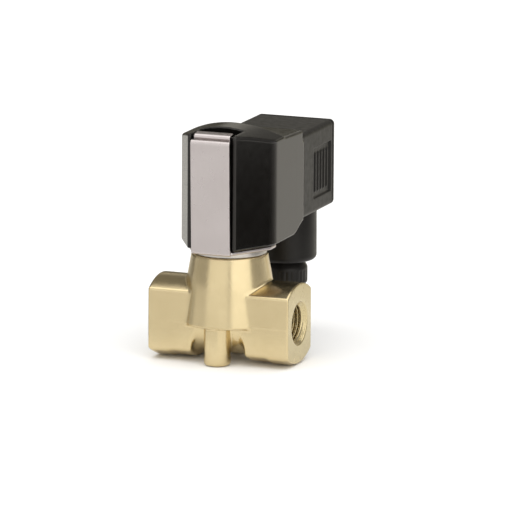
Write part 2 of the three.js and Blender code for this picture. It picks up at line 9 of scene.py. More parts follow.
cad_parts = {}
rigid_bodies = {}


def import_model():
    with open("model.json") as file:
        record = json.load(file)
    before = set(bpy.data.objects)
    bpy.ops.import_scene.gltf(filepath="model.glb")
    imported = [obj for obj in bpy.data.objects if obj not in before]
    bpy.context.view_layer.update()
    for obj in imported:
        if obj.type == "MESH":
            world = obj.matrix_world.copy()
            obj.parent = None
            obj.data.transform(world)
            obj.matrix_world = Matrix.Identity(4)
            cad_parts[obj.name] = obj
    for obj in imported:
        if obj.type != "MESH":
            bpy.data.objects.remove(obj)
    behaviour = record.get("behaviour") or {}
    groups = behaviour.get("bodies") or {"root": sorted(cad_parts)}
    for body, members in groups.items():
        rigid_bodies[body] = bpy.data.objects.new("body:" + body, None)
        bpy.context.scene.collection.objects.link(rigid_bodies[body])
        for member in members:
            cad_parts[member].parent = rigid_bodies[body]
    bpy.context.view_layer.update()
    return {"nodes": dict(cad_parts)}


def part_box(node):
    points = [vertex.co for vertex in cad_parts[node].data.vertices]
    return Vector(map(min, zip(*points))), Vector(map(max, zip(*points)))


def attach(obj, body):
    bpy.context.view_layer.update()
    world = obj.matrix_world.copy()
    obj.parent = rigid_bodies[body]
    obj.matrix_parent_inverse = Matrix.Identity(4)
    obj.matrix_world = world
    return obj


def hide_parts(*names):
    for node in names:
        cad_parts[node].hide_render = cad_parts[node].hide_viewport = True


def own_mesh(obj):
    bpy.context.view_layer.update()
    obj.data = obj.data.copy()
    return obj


# Solenoid valve. Shapes are written in millimetres in the valve's own frame: X along the flow,
# Y from the strap (-) to the connector (+), Z up, zero on the port axis and the armature axis.
# to_world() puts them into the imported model's frame, in metres.

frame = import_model()

for left_over in list(bpy.data.objects):
    if left_over.type in {"LIGHT", "CAMERA"} or left_over.name == "Cube":
        bpy.data.objects.remove(left_over, do_unlink=True)

MM = 0.001

# body
BODY_HALF = 25.0  # half the length along the flow
FOOT_DROP = 13.9  # from the port axis down to the bosses' feet
WING_SIDE = 11.2  # half the wings' depth; the bosses stand in the same planes
ARCH_EDGE_Z = 10.1  # where the wings' arched tops meet their sides
BODY_TOP_Z = 22.5
BODY_GRID_Y = 15.8  # where the grid of the body's mesh ends, before its margin

# G1/4 ports, measured from the valve's middle along X
THREAD_PITCH = 1.337
THREAD_MINOR_R = 5.72
THREAD_MAJOR_R = 6.58
THREAD_END = 12.9
PORT_MOUTH_R = 7.5
SLEEVE_R = 7.3  # outside of the thread's sleeve, sunk in the body's metal

# coil
COIL_FRONT_Y = -17.3
COIL_BACK_Y = 26.0
COIL_BOTTOM_Z = 26.2
COIL_TOP_Z = 65.9
COIL_HALF = 16.7
CROWN_R = 32.0
CHANNEL_HALF = 7.3  # half the width of the strap's channel

# clip
PLATE_BOTTOM_Z, PLATE_TOP_Z = 24.5, 25.7
PLATE_FRONT_Y, PLATE_BACK_Y = -16.5, 11.5
PLATE_HALF = 15.4
STRAP_HALF = 6.9

# connector
SCREW_Z = 42.95
SHELL_HALF = 14.0
SHELL_BOTTOM_Z, SHELL_TOP_Z = 28.4, 57.9
SHELL_MID_Z = (SHELL_BOTTOM_Z + SHELL_TOP_Z) / 2
SHELL_HALF_HEIGHT = (SHELL_TOP_Z - SHELL_BOTTOM_Z) / 2
SHELL_FRONT_Y = 27.8
SHELL_BACK_Y = 60.3
COVER_BACK_Y = 62.6
SHELL_CORNER = 1.7
SCREW_TIP_Y = 21.0
SCREW_HEAD_R = 2.9

# cable gland, hanging from the connector
GLAND_Y = 51.3
GLAND_BOTTOM_Z = 10.4
NUT_BOTTOM_Z, NUT_HEAD_Z, NUT_TOP_Z = 2.0, 9.8, 16.6
NUT_R = 8.1

BODY_LOW, BODY_HIGH = (Vector(c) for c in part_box("valve_body"))
AXIS_Y = (BODY_LOW.y + BODY_HIGH.y) / 2
PORT_Z = BODY_LOW.z + FOOT_DROP * MM


def to_world(points):
    return np.asarray(points, dtype=np.float64) * MM + np.array([0.0, AXIS_Y, PORT_Z])


# ------------------------------------------------------------------ signed distance fields

def meet(a, b, r):
    """Intersection of two fields with a rounded edge."""
    inside = np.minimum(-r, np.maximum(a, b))
    return inside + np.sqrt(np.maximum(r + a, 0) ** 2 + np.maximum(r + b, 0) ** 2)


def join(a, b, r):
    """Union of two fields with a fillet."""
    outside = np.maximum(r, np.minimum(a, b))
    return outside - np.sqrt(np.maximum(r - a, 0) ** 2 + np.maximum(r - b, 0) ** 2)


def cut(a, b, r):
    """a without b, with a rounded edge."""
    return meet(a, -b, r)


def edge(radius, degrees):
    """The value meet() and join() need for a true radius where two faces turn by that angle."""
    return radius * (1 - math.cos(math.radians(degrees) / 2)) / (1 - math.sqrt(0.5))


def step(x, a, b):
    t = np.clip((x - a) / (b - a), 0, 1)
    return t * t * (3 - 2 * t)


def block(x, y, z, x0, x1, y0, y1, z0, z1, r=0.2):
    dx = np.abs(x - (x0 + x1) / 2) - (x1 - x0) / 2
    dy = np.abs(y - (y0 + y1) / 2) - (y1 - y0) / 2
    dz = np.abs(z - (z0 + z1) / 2) - (z1 - z0) / 2
    return meet(meet(dx, dy, r), dz, r)


def drum(radial, r, along, a, b):
    """Plain cylinder from its radial distance and the distance along its axis."""
    return np.maximum(radial - r, np.abs(along - (a + b) / 2) - (b - a) / 2)


def polyline(u, v, points):
    """Distance in a plane to a chain of straight pieces."""
    best = None
    for (u0, v0), (u1, v1) in zip(points[:-1], points[1:]):
        du, dv = u1 - u0, v1 - v0
        t = np.clip(((u - u0) * du + (v - v0) * dv) / (du * du + dv * dv), 0, 1)
        d = np.hypot(u - u0 - t * du, v - v0 - t * dv)
        best = d if best is None else np.minimum(best, d)
    return best


def surface_of(field, low, high, voxel):
    """Points (mm) and quads of a field's zero surface."""
    low = np.array(low, dtype=np.float64) - 3 * voxel
    high = np.array(high, dtype=np.float64) + 3 * voxel
    counts = np.ceil((high - low) / voxel).astype(int) + 1
    axes = [(low[i] + voxel * np.arange(counts[i])).astype(np.float32) for i in range(3)]
    x, y, z = axes[0][:, None, None], axes[1][None, :, None], axes[2][None, None, :]
    values = np.broadcast_to(field(x, y, z), counts)
    values = np.ascontiguousarray(np.clip(values, -3 * voxel, 3 * voxel), dtype=np.float32)
    grid = openvdb.FloatGrid(float(3 * voxel))
    grid.copyFromArray(values)
    points, quads = grid.convertToQuads(0.0)
    points = np.asarray(points, dtype=np.float64) * voxel + low
    return points, np.asarray(quads, dtype=np.int64)


# ------------------------------------------------------------------ mesh helpers

def outward(points, faces):
    """Faces turned so that the closed mesh's volume is positive."""
    volume = 0.0
    for f in (faces[:, [0, 1, 2]], faces[:, [0, 2, 3]]) if faces.shape[1] == 4 else (faces,):
        a, b, c = points[f[:, 0]], points[f[:, 1]], points[f[:, 2]]
        volume += float(np.einsum("ij,ij->i", a, np.cross(b, c)).sum())
    return faces if volume > 0 else faces[:, ::-1]


def add_object(name, points, faces):
    mesh = bpy.data.meshes.new(name)
    mesh.from_pydata(to_world(points).tolist(), [], [list(map(int, f)) for f in faces])
    mesh.update()
    mesh.polygons.foreach_set("use_smooth", [True] * len(mesh.polygons))
    obj = bpy.data.objects.new(name, mesh)
    bpy.context.scene.collection.objects.link(obj)
    return obj


def place(obj, body, node, material, more=()):
    """Gives a piece its looks, hides the node it stands for, and attaches it to the body that carries
    it.
    """
    for m in (material, *more):
        obj.data.materials.append(m)
    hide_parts(node)
    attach(obj, body)


def from_field(name, field, low, high, voxel):
    points, quads = surface_of(field, low, high, voxel)
    return add_object(name, points, outward(points, quads))


def rounded_profile(points, radius, steps=4):
    """Closed chain of (r, z) points with every corner rounded."""
    out = []
    n = len(points)
    for i in range(n):
        p = Vector(points[i])
        a = Vector(points[i - 1]) - p
        b = Vector(points[(i + 1) % n]) - p
        reach = min(radius, a.length * 0.45, b.length * 0.45)
        start, end = p + a.normalized() * reach, p + b.normalized() * reach
        for k in range(steps + 1):
            t = k / steps
            q = start * (1 - t) ** 2 + p * (2 * t * (1 - t)) + end * t * t
            out.append((q.x, q.y))
    return out


def turned(name, profile, segments=96, centre=(0.0, 0.0), radius=0.2):
    """Closed ring: a rounded (r, z) profile turned about the vertical through centre."""
    chain = rounded_profile(profile, radius)
    n = len(chain)
    angles = 2 * np.pi * np.arange(segments) / segments
    points = [
        (centre[0] + r * math.cos(a), centre[1] + r * math.sin(a), z)
        for a in angles
        for r, z in chain
    ]
    faces = []
    for i in range(segments):
        j = (i + 1) % segments
        for k in range(n):
            m = (k + 1) % n
            faces.append((i * n + k, i * n + m, j * n + m, j * n + k))
    points, faces = np.array(points), np.array(faces)
    return add_object(name, points, outward(points, faces))


# ------------------------------------------------------------------ materials

class Nodes:
    """Small helper round one material's node tree."""

    def __init__(self, name):
        self.material = bpy.data.materials.new(name)
        self.material.use_nodes = True
        self.tree = self.material.node_tree
        self.shader = self.tree.nodes["Principled BSDF"]
        self.coords = self.tree.nodes.new("ShaderNodeTexCoord").outputs["Object"]

    def node(self, kind, **values):
        made = self.tree.nodes.new(kind)
        for key, value in values.items():
            if key in made.inputs:
                made.inputs[key].default_value = value
            else:
                setattr(made, key, value)
        return made

    def link(self, a, b):
        self.tree.links.new(a, b)

    def set(self, **values):
        for key, value in values.items():
            self.shader.inputs[key.replace("_", " ")].default_value = value

    def stretched(self, scale):
        mapping = self.node("ShaderNodeMapping")
        mapping.inputs["Scale"].default_value = scale
        self.link(self.coords, mapping.inputs["Vector"])
        return mapping.outputs["Vector"]

    def noise(self, scale, detail=3.0, roughness=0.55, vector=None):
        n = self.node("ShaderNodeTexNoise", Scale=scale, Detail=detail, Roughness=roughness)
        self.link(vector or self.coords, n.inputs["Vector"])
        return n.outputs["Fac"]

    def ramp(self, fac, low, high, start=0.3, end=0.7):
        """Runs from low to high, numbers or colours, while fac runs from start to end."""
        r = self.node("ShaderNodeValToRGB")
        r.color_ramp.elements[0].position = start
        r.color_ramp.elements[1].position = end
        for element, value in zip(r.color_ramp.elements, (low, high)):
            element.color = (*value, 1) if isinstance(value, tuple) else (value, value, value, 1)
        self.link(fac, r.inputs["Fac"])
        return r.outputs["Color"]

    def mix(self, kind, fac, a, b):
        m = self.node("ShaderNodeMix", data_type="RGBA", blend_type=kind)
        for socket, value in ((m.inputs["Factor"], fac), (m.inputs[6], a), (m.inputs[7], b)):
            if hasattr(value, "is_linked"):
                self.link(value, socket)
            else:
                socket.default_value = value
        return m.outputs[2]

    def bump(self, *layers):
        """Layers are (height output, strength, distance in metres), finest last."""
        normal = None
        for height, strength, distance in layers:
            b = self.node("ShaderNodeBump", Strength=strength, Distance=distance)
            self.link(height, b.inputs["Height"])
            if normal is not None:
                self.link(normal, b.inputs["Normal"])
            normal = b.outputs["Normal"]
        self.link(normal, self.shader.inputs["Normal"])

    def to(self, output, name):
        self.link(output, self.shader.inputs[name])


def brass_forged():
    n = Nodes("brass_forging")
    n.set(Metallic=1.0)
    cloudy = n.noise(90, 3)
    grain = n.noise(2600, 2, 0.6)
    tone = n.ramp(cloudy, (0.612, 0.498, 0.287), (0.662, 0.544, 0.322))
    n.to(n.mix("MULTIPLY", 0.5, tone, n.ramp(grain, 0.93, 1.0, 0.35, 0.6)), "Base Color")
    n.to(n.ramp(n.noise(400, 4), 0.21, 0.26), "Roughness")
    n.bump((n.noise(220, 2), 0.06, 0.0001), (grain, 0.05, 0.00001))
    return n.material


def brass_turned(name, axis):
    """Turned faces: fine rings round one of the object's axes."""
    n = Nodes(name)
    n.set(Metallic=1.0)
    rings = n.node("ShaderNodeTexWave", wave_type="RINGS", rings_direction=axis, Scale=900.0)
    rings.inputs["Distortion"].default_value = 0.4
    shift = n.node("ShaderNodeMapping")
    shift.inputs["Location"].default_value = (0, -AXIS_Y, -PORT_Z if axis == "X" else 0)
    n.link(n.coords, shift.inputs["Vector"])
    n.link(shift.outputs["Vector"], rings.inputs["Vector"])
    n.to(n.ramp(n.noise(150), (0.56, 0.47, 0.265), (0.60, 0.505, 0.29)), "Base Color")
    n.to(n.ramp(n.noise(700, 3), 0.26, 0.32), "Roughness")
    n.bump((rings.outputs["Fac"], 0.03, 0.00001))
    return n.material


def rolled_steel():
    n = Nodes("strap_steel")
    n.set(Metallic=1.0)
    streaks = n.noise(1.0, 3, 0.5, n.stretched((1600, 5200, 60)))
    blotch = n.noise(60, 3)
    tone = n.ramp(blotch, (0.515, 0.468, 0.455), (0.555, 0.507, 0.495))
    n.to(n.mix("MULTIPLY", 0.6, tone, n.ramp(streaks, 0.98, 1.0, 0.35, 0.65)), "Base Color")
    n.to(n.ramp(n.noise(500, 3), 0.27, 0.32), "Roughness")
    n.bump((streaks, 0.025, 0.00001))
    return n.material


def plated(name, low, high, rough):
    n = Nodes(name)
    n.set(Metallic=1.0)
    n.to(n.ramp(n.noise(140, 4), low, high), "Base Color")
    fine = n.noise(3200, 2)
    n.to(n.ramp(fine, rough * 0.85, rough * 1.15), "Roughness")
    n.bump((fine, 0.08, 0.00001))
    return n.material


def moulding(name, low, high, rough, peel, grain, grain_scale, shine):
    """Moulded plastic: faint waviness from the tool, plus its surface texture."""
    n = Nodes(name)
    n.set(Metallic=0.0, IOR=1.5, Specular_IOR_Level=shine, Specular_Tint=(1.0, 0.96, 0.90, 1))
    n.to(n.ramp(n.noise(110, 3), low, high), "Base Color")
    texture = n.noise(grain_scale, 3, 0.6)
    n.to(n.ramp(n.noise(500, 3), *rough), "Roughness")
    n.bump((n.noise(150, 2), peel, 0.00012), (texture, grain, 0.00002))
    return n.material


def elastomer(name, colour):
    n = Nodes(name)
    n.set(IOR=1.48)
    lighter = tuple(c * 1.5 for c in colour)
    n.to(n.ramp(n.noise(300, 3), colour, lighter), "Base Color")
    n.to(n.ramp(n.noise(900, 3), 0.62, 0.78), "Roughness")
    n.bump((n.noise(2400, 3), 0.3, 0.00003))
    return n.material


def wound_wire():
    n = Nodes("winding_wire")
    n.set(Metallic=1.0)
    wires = n.node("ShaderNodeTexWave", wave_type="BANDS", bands_direction="Z", Scale=700.0)
    n.link(n.coords, wires.inputs["Vector"])
    # colour follows the bump's bands: painted shade in the grooves between turns and a painted
    # highlight on their crests
    n.to(n.ramp(wires.outputs["Fac"], (0.36, 0.13, 0.05), (0.72, 0.33, 0.16)), "Base Color")
    n.to(n.ramp(n.noise(800), 0.28, 0.4), "Roughness")
    n.bump((wires.outputs["Fac"], 0.8, 0.0001))
    return n.material


BRASS = brass_forged()
BRASS_FACE = brass_turned("brass_machined_x", "X")
BRASS_TOP = brass_turned("brass_machined_z", "Z")
BRASS_THREAD = plated("brass_thread", (0.56, 0.465, 0.265), (0.62, 0.52, 0.30), 0.26)
STEEL = rolled_steel()
STAINLESS = plated("stainless", (0.50, 0.47, 0.43), (0.57, 0.54, 0.50), 0.34)
IRON = plated("core_iron", (0.36, 0.36, 0.37), (0.45, 0.45, 0.46), 0.38)
ZINC = plated("zinc_plate", (0.60, 0.62, 0.66), (0.70, 0.71, 0.74), 0.26)
COIL_BLACK = moulding(
    "coil_plastic", (0.004, 0.0035, 0.003), (0.006, 0.0055, 0.005),
    rough=(0.14, 0.19), peel=0.03, grain=0.02, grain_scale=1800, shine=0.42,
)
CONNECTOR_BLACK = moulding(
    "connector_plastic", (0.006, 0.0055, 0.005), (0.010, 0.0095, 0.009),
    rough=(0.34, 0.44), peel=0.10, grain=0.25, grain_scale=3000, shine=0.24,
)
NYLON = moulding(
    "nylon", (0.50, 0.47, 0.39), (0.60, 0.57, 0.48),
    rough=(0.42, 0.52), peel=0.15, grain=0.2, grain_scale=1500, shine=0.5,
)
RUBBER = elastomer("rubber", (0.010, 0.010, 0.010))
SEAL_GREEN = elastomer("seal_rubber", (0.03, 0.07, 0.045))
WIRE = wound_wire()


# ------------------------------------------------------------------ brass body

def wing_arch(y, z, peak):
    """Distance to the arched top of the wings, its crown at height peak."""
    rise = peak - ARCH_EDGE_Z
    radius = (11.25 ** 2 + rise ** 2) / (2 * rise)
    return np.hypot(y, z - (peak - radius)) - radius


def wings_field(x, y, z):
    """Two square wings, drafted from the parting line, with a thin flash bead on it."""
    ax, ay = np.abs(x), np.abs(y)
    peak = 13.5
    flash = 0.05 * np.exp(-((z / 0.28) ** 2))
    side = ay - (WING_SIDE - 0.008 * np.abs(z) + flash)
    # low collar round the undersides near their ends
    collar = 0.4 * step(ax, 16.4, 18.4) * (1 - step(ax, 23.3, 24.6))
    section = meet(side, wing_arch(y, z, peak), edge(1.0, 60))
    section = meet(section, wing_arch(y, -z, peak) - collar, edge(1.0, 60))
    wings = meet(section, ax - BODY_HALF, 0.5)
    # relief between the wings, down to a round barrel about the port axis
    width = 8.5 + 1.7 * np.clip(-z / 16, 0, 1) ** 1.2
    relief = meet(meet(ax - width, 11.7 - np.hypot(y, z), 1.8), z - 2, 0.5)
    return cut(wings, relief, 0.9)


def bonnet_field(x, y, z):
    """Cone under the coil, slightly steeper at its foot."""
    r = np.hypot(x, y)
    rim_z = -1.1
    lower = (r - 16 + (z - rim_z) * 0.1064) / 1.0057
    upper = (r - 14.5 + (z - 13) * 0.1789) / 1.0159
    flank = meet(lower, upper, edge(60, 4))
    return meet(meet(flank, z - BODY_TOP_Z, 0.5), rim_z - z, 0.3)


def ports_field(x, y, z):
    """Chamfers, thread bores, drill tips, and the passages to the seat."""
    ax = np.abs(x)
    port_r = np.hypot(y, z)
    chamfer = (port_r - PORT_MOUTH_R + (BODY_HALF - ax)) * 0.7071
    sleeve_bore = drum(port_r, 7.0, ax, THREAD_END, 30)
    ports = np.minimum(sleeve_bore, np.maximum(chamfer, 20 - ax))
    ports = np.minimum(ports, drum(port_r, THREAD_MINOR_R, ax, 11.6, 14))
    tip = (port_r - THREAD_MINOR_R + (11.6 - ax) * 1.7) * 0.5
    ports = np.minimum(ports, np.maximum(tip, ax - 11.7))
    # outlet: a bore under the seat, met by the orifice from above
    outlet = drum(np.hypot(y, z + 1.8), 2.6, x, -2, 13)
    orifice = drum(np.hypot(x, y), 3.3, z, -2, 2)
    ports = np.minimum(np.minimum(ports, outlet), orifice)
    # inlet: slanting up into the armature's chamber
    along = 0.906 * (x + 9.3) + 0.423 * (z - 1.3)
    across = np.hypot(0.423 * (x + 9.3) - 0.906 * (z - 1.3), y)
    return np.minimum(ports, drum(across, 2.6, along, -6, 6))


def body_field(x, y, z):
    r = np.hypot(x, y)
    body = join(wings_field(x, y, z), bonnet_field(x, y, z), 0.7)
    # mounting bosses with their threaded holes
    boss_r = np.hypot(x, np.abs(y) - WING_SIDE)
    boss = meet(meet(boss_r - 4.5, -FOOT_DROP - z, 1.1), z + 1.25, 0.35)
    body = join(body, boss, 0.3)
    hole = drum(boss_r, 2.1, z, -15, -5.9)
    hole = np.minimum(hole, (boss_r - 2.6 + (z + FOOT_DROP)) * 0.7071)
    body = cut(body, np.maximum(hole, z + 5.9), 0.1)
    # bonnet bore and armature chamber
    bore = np.minimum(drum(r, 10.0, z, 17, 30), drum(r, 8.0, z, 1, 30))
    body = cut(body, bore, 0.25)
    return cut(body, ports_field(x, y, z), 0.12)


def thread_sleeve(side):
    """Inside of one port: the helical G1/4 thread running out into the chamfer."""
    turns, rows = 120, 150
    x = np.linspace(THREAD_END, BODY_HALF - 0.5, rows)
    angle = 2 * np.pi * np.arange(turns) / turns
    xx, aa = np.meshgrid(x, angle, indexing="ij")
    # rounded profile, 0 at the minor radius and 1 at the major radius
    phase = (xx / THREAD_PITCH - aa / (2 * np.pi)) % 1.0
    tooth = np.clip((np.abs(phase - 0.5) * 2 - 0.12) / 0.76, 0, 1)
    tooth = tooth * tooth * (3 - 2 * tooth) * 0.45 + tooth * 0.55
    run_out = np.clip((xx - THREAD_END) / 1.4, 0, 1)
    thread = THREAD_MINOR_R + (THREAD_MAJOR_R - THREAD_MINOR_R) * tooth * run_out
    r = np.maximum(thread, PORT_MOUTH_R - (BODY_HALF - xx))
    inside = np.stack([xx, r * np.cos(aa), r * np.sin(aa)], axis=-1).reshape(-1, 3)
    outside = np.stack([xx, SLEEVE_R * np.cos(aa), SLEEVE_R * np.sin(aa)], axis=-1).reshape(-1, 3)
    points = np.concatenate([inside, outside])
    faces = []
    count = rows * turns
    for i in range(rows - 1):
        for j in range(turns):
            k = (j + 1) % turns
            a, b = i * turns + j, i * turns + k
            c, d = a + turns, b + turns
            faces.append((a, b, d, c))
            faces.append((count + a, count + c, count + d, count + b))
    for i, flip in ((0, False), (rows - 1, True)):
        for j in range(turns):
            k = (j + 1) % turns
            a, b = i * turns + j, i * turns + k
            quad = (a, count + a, count + b, b)
            faces.append(quad[::-1] if flip else quad)
    if side < 0:
        points = points * np.array([-1.0, -1.0, 1.0])
    return points, outward(points, np.array(faces))


def face_finishes(mesh):
    """Material index of each face: 0 forged, 1 machined ends, 2 turned top and bore, 3 threads."""
    count = len(mesh.polygons)
    centres = np.empty(count * 3)
    normals = np.empty(count * 3)
    mesh.polygons.foreach_get("center", centres)
    mesh.polygons.foreach_get("normal", normals)
    cx, cy, cz = ((centres.reshape(-1, 3) - np.array([0, AXIS_Y, PORT_Z])) / MM).T
    nx, _, nz = normals.reshape(-1, 3).T
    ends = (np.abs(cx) > BODY_HALF - 0.1) & (np.abs(nx) > 0.95)
    ports = (np.abs(cx) > 11) & (np.hypot(cy, cz) < PORT_MOUTH_R + 0.06)
    top = (cz > BODY_TOP_Z - 0.1) & (nz > 0.95)
    bore = (cz > 0.9) & (np.hypot(cx, cy) < 10.1)
    return np.select([ports, ends, top | bore], [3, 1, 2], 0).astype(np.int32)


def make_body():
    low = (-BODY_HALF, -BODY_GRID_Y, -FOOT_DROP)
    high = (BODY_HALF, BODY_GRID_Y, BODY_TOP_Z)
    points, quads = surface_of(body_field, low, high, voxel=0.32)
    quads = outward(points, quads)
    for side in (-1, 1):
        more, faces = thread_sleeve(side)
        quads = np.concatenate([quads, faces + len(points)])
        points = np.concatenate([points, more])
    body = add_object("valve_body_forging", points, quads)
    finishes = (BRASS_FACE, BRASS_TOP, BRASS_THREAD)
    place(body, "valve", "valve_body", BRASS, finishes)
    body.data.polygons.foreach_set("material_index", face_finishes(body.data))
    body.data.update()


# ------------------------------------------------------------------ coil moulding

def contact_places():
    """Centre (x, z) of each contact blade, and whether it lies flat: two poles and the earth."""
    poles_z, earth_z = SCREW_Z - 6, SCREW_Z + 8
    return ((-9.0, poles_z, False), (9.0, poles_z, False), (0.0, earth_z, True))


def contact_pockets(x, y, z, half_width, half_height, y0, y1):
    """Upright slots round the contacts, turned on their side for the one that lies flat."""
    slots = None
    for px, pz, lying in contact_places():
        w, h = (half_height, half_width) if lying else (half_width, half_height)
        slot = block(x, y, z, px - w, px + w, y0, y1, pz - h, pz + h)
        slots = slot if slots is None else np.minimum(slots, slot)
    return slots


def coil_field(x, y, z):
    ax = np.abs(x)
    # plan: narrow front, bevels, sides with a slight draft
    front = COIL_FRONT_Y - y
    bevel = 0.8722 * ax - 0.4891 * y - 15.79
    side = ax - (COIL_HALF - 0.004 * np.maximum(y, 0))
    plan = meet(front, bevel, edge(0.8, 61))
    plan = meet(plan, side, edge(12, 29))
    plan = meet(plan, y - COIL_BACK_Y, 0.7)
    # shallow dome in front, then a fall to the lower rear roof
    crown = (z - COIL_TOP_Z + x * x / (2 * CROWN_R)) / 1.05
    fall = (4.2 * (y - 3.3) + 3.6 * (z - 65.3)) / 5.53
    rear = z - 61.2 + 0.035 * (y - 6.8)
    roof = meet(crown, join(fall, rear, edge(2.5, 49)), edge(0.5, 49))
    solid = meet(plan, roof, 0.75)
    # underside, rising towards the connector
    under = COIL_BOTTOM_Z + 3.4 * step(y, 16, 26.5)
    solid = meet(solid, (under - z) * 0.93, 0.45)
    # clipped upper corners of the back end
    clipped = 0.79 * (ax - 13.6) + 0.613 * (z - 60.6)
    solid = cut(solid, np.maximum(-clipped, 24.3 - y), 0.25)
    # strap channel, the wall behind the bead, and the slot
    solid = cut(solid, np.maximum(ax - CHANNEL_HALF, y + 15.6), 0.3)
    solid = cut(solid, np.maximum(np.maximum(ax - CHANNEL_HALF, y + 13.4), 64.2 - z), 0.25)
    slot = block(x, y, z, -CHANNEL_HALF, CHANNEL_HALF, -14.4, -6.9, 60.2, 70, 0.5)
    solid = cut(solid, slot, 0.25)
    # chamber, blind bore, screw hole, pockets round the contacts
    r = np.hypot(x, y)
    inside = np.minimum(drum(r, 13.1, z, 20, 58.2), drum(r, 5.15, z, 50, 59.4))
    inside = np.minimum(inside, drum(np.hypot(x, z - SCREW_Z), 1.8, y, 19.5, 40))
    inside = np.minimum(inside, contact_pockets(x, y, z, 0.7, 3.5, 20.4, 40))
    return cut(solid, inside, 0.15)


def make_coil():
    low = (-COIL_HALF, COIL_FRONT_Y, COIL_BOTTOM_Z)
    high = (COIL_HALF, COIL_BACK_Y, COIL_TOP_Z)
    coil = from_field("coil_moulding", coil_field, low, high, voxel=0.29)
    place(coil, "coil", "coil_housing", COIL_BLACK)
    cover = turned(
        "coil_underside", [(7.6, 26.3), (12.9, 26.3), (12.9, 27.7), (7.6, 27.7)], radius=0.25
    )
    place(cover, "coil", "coil_base_cover", COIL_BLACK)


# ------------------------------------------------------------------ strap clip

def plate_field(x, y, z):
    ax = np.abs(x)
    front_bevel = (14.6 * (ax - STRAP_HALF) - 8.5 * (y - PLATE_FRONT_Y)) / 16.89
    rear_bevel = (8.5 * (ax - PLATE_HALF) + 5.9 * (y - 3)) / 10.35
    sides = meet(PLATE_FRONT_Y - y, front_bevel, 0.3)
    sides = meet(sides, ax - PLATE_HALF, edge(2.5, 30))
    sides = meet(sides, rear_bevel, edge(2.5, 35))
    sides = meet(sides, y - PLATE_BACK_Y, edge(3, 55))
    sides = cut(sides, np.hypot(x, y) - 5.1, 0.1)
    return meet(meet(sides, z - PLATE_TOP_Z, 0.3), PLATE_BOTTOM_Z - z, 0.3)


def strap_chain():
    """Centre line of the strap from its foot up to the lip, as (y, z)."""
    foot = [(-17.05, 24.95), (-17.45, 25.15), (-17.68, 25.6)]
    knee = [(-18.74, 61.9), (-18.72, 62.35), (-18.5, 62.68), (-18.15, 62.8)]
    shelf = [(-17.15, 62.75), (-16.95, 62.85), (-16.9, 63.1)]
    bead_y, bead_z, bead_r = -15.95, 63.75, 0.95
    turn = [math.radians(a) for a in range(-10, 101, 10)]
    bead = [(bead_y - bead_r * math.cos(a), bead_z + bead_r * math.sin(a)) for a in turn]
    lip = [(-15.4, 64.72), (-14.9, 64.95), (-14.3, 65.1), (-14.05, 65.12)]
    return foot, knee, shelf + bead, lip


def strap_field(x, y, z):
    foot, knee, bead, lip = strap_chain()
    # half thicknesses: the lip is thinned where it springs into its slot
    main = polyline(y, z, foot + knee) - 0.52
    upper = polyline(y, z, [knee[-1]] + bead) - 0.4
    top = polyline(y, z, [bead[-1]] + lip) - 0.26
    wide = meet(main, np.abs(x) - STRAP_HALF, 0.22)
    narrow = meet(join(upper, top, 0.15), np.abs(x) - 6.35, 0.22)
    strap = join(wide, narrow, 0.1)
    crease = block(x, y, z, -8, 8, -18.0, -17.05, 62.7, 63.7, 0.1)
    return cut(strap, crease, 0.08)


def spring_path(radius, z0, z1, turns, steps):
    """Helix from z0 up to z1, flatter at both ends, as (x, y, z) points."""
    count = turns * steps + 1
    path = []
    for k in range(count):
        t = k / (count - 1)
        rise = float(step(t, 0.5 / turns, 1 - 0.5 / turns)) * 0.35 + 0.65 * t
        angle = 2 * math.pi * turns * t
        z = z0 + (z1 - z0) * rise
        path.append(Vector((radius * math.cos(angle), radius * math.sin(angle), z)))
    return path


def round_wire(path, wire, sides):
    """Points and faces of a round wire along a path that winds about the vertical."""
    count = len(path)
    points, faces = [], []
    for k, p in enumerate(path):
        along = (path[min(k + 1, count - 1)] - path[max(k - 1, 0)]).normalized()
        out = Vector((p.x, p.y, 0)).normalized()
        up = along.cross(out).normalized()
        for j in range(sides):
            a = 2 * math.pi * j / sides
            points.append(p + (up.cross(along) * math.cos(a) + up * math.sin(a)) * wire)
    for k in range(count - 1):
        for j in range(sides):
            m = (j + 1) % sides
            here, there = k * sides, (k + 1) * sides
            faces.append((here + j, here + m, there + m, there + j))
    # a fan about the path's first and last point closes each end; its faces repeat a corner
    points += [path[0], path[-1]]
    first, last = count * sides, (count - 1) * sides
    for j in range(sides):
        m = (j + 1) % sides
        faces.append((first, m, j, j))
        faces.append((first + 1, last + j, last + m, last + m))
    points = np.array([tuple(p) for p in points])
    faces = outward(points, np.array(faces))
    return points, [tuple(dict.fromkeys(map(int, f))) for f in faces]


def make_spring():
    """Round wire, closed at both ends, given a mesh of its own. The real spring shortens as the
    armature lifts into the tube; its shape here stays fixed.
    """
    low, high = (Vector(c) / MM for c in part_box("return_spring"))
    wire = 0.4
    mean = (high.x - low.x) / 2 - wire
    z0, z1 = low.z - PORT_Z / MM + wire, high.z - PORT_Z / MM - wire
    points, faces = round_wire(spring_path(mean, z0, z1, turns=6, steps=48), wire, sides=12)
    spring = add_object("spring_wire", points, faces)
    place(spring, "valve", "return_spring", STAINLESS)
    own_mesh(spring)


def make_clip():
    low = (-PLATE_HALF, PLATE_FRONT_Y, PLATE_BOTTOM_Z)
    high = (PLATE_HALF, PLATE_BACK_Y, PLATE_TOP_Z)
    plate = from_field("clip_plate", plate_field, low, high, voxel=0.28)
    place(plate, "coil", "clip_base_plate", STEEL)
    low, high = (-STRAP_HALF, -19.3, 24.2), (STRAP_HALF, -13.7, 65.5)
    strap = from_field("clip_strip", strap_field, low, high, voxel=0.15)
    place(strap, "strap", "clip_strap", STEEL)
    washer = turned(
        "washer_under_clip",
        [(5.1, 22.56), (12.4, 22.56), (12.4, 24.2), (5.1, 24.2)],
        radius=0.3,
    )
    place(washer, "valve", "coil_washer", STAINLESS)


# ------------------------------------------------------------------ connector

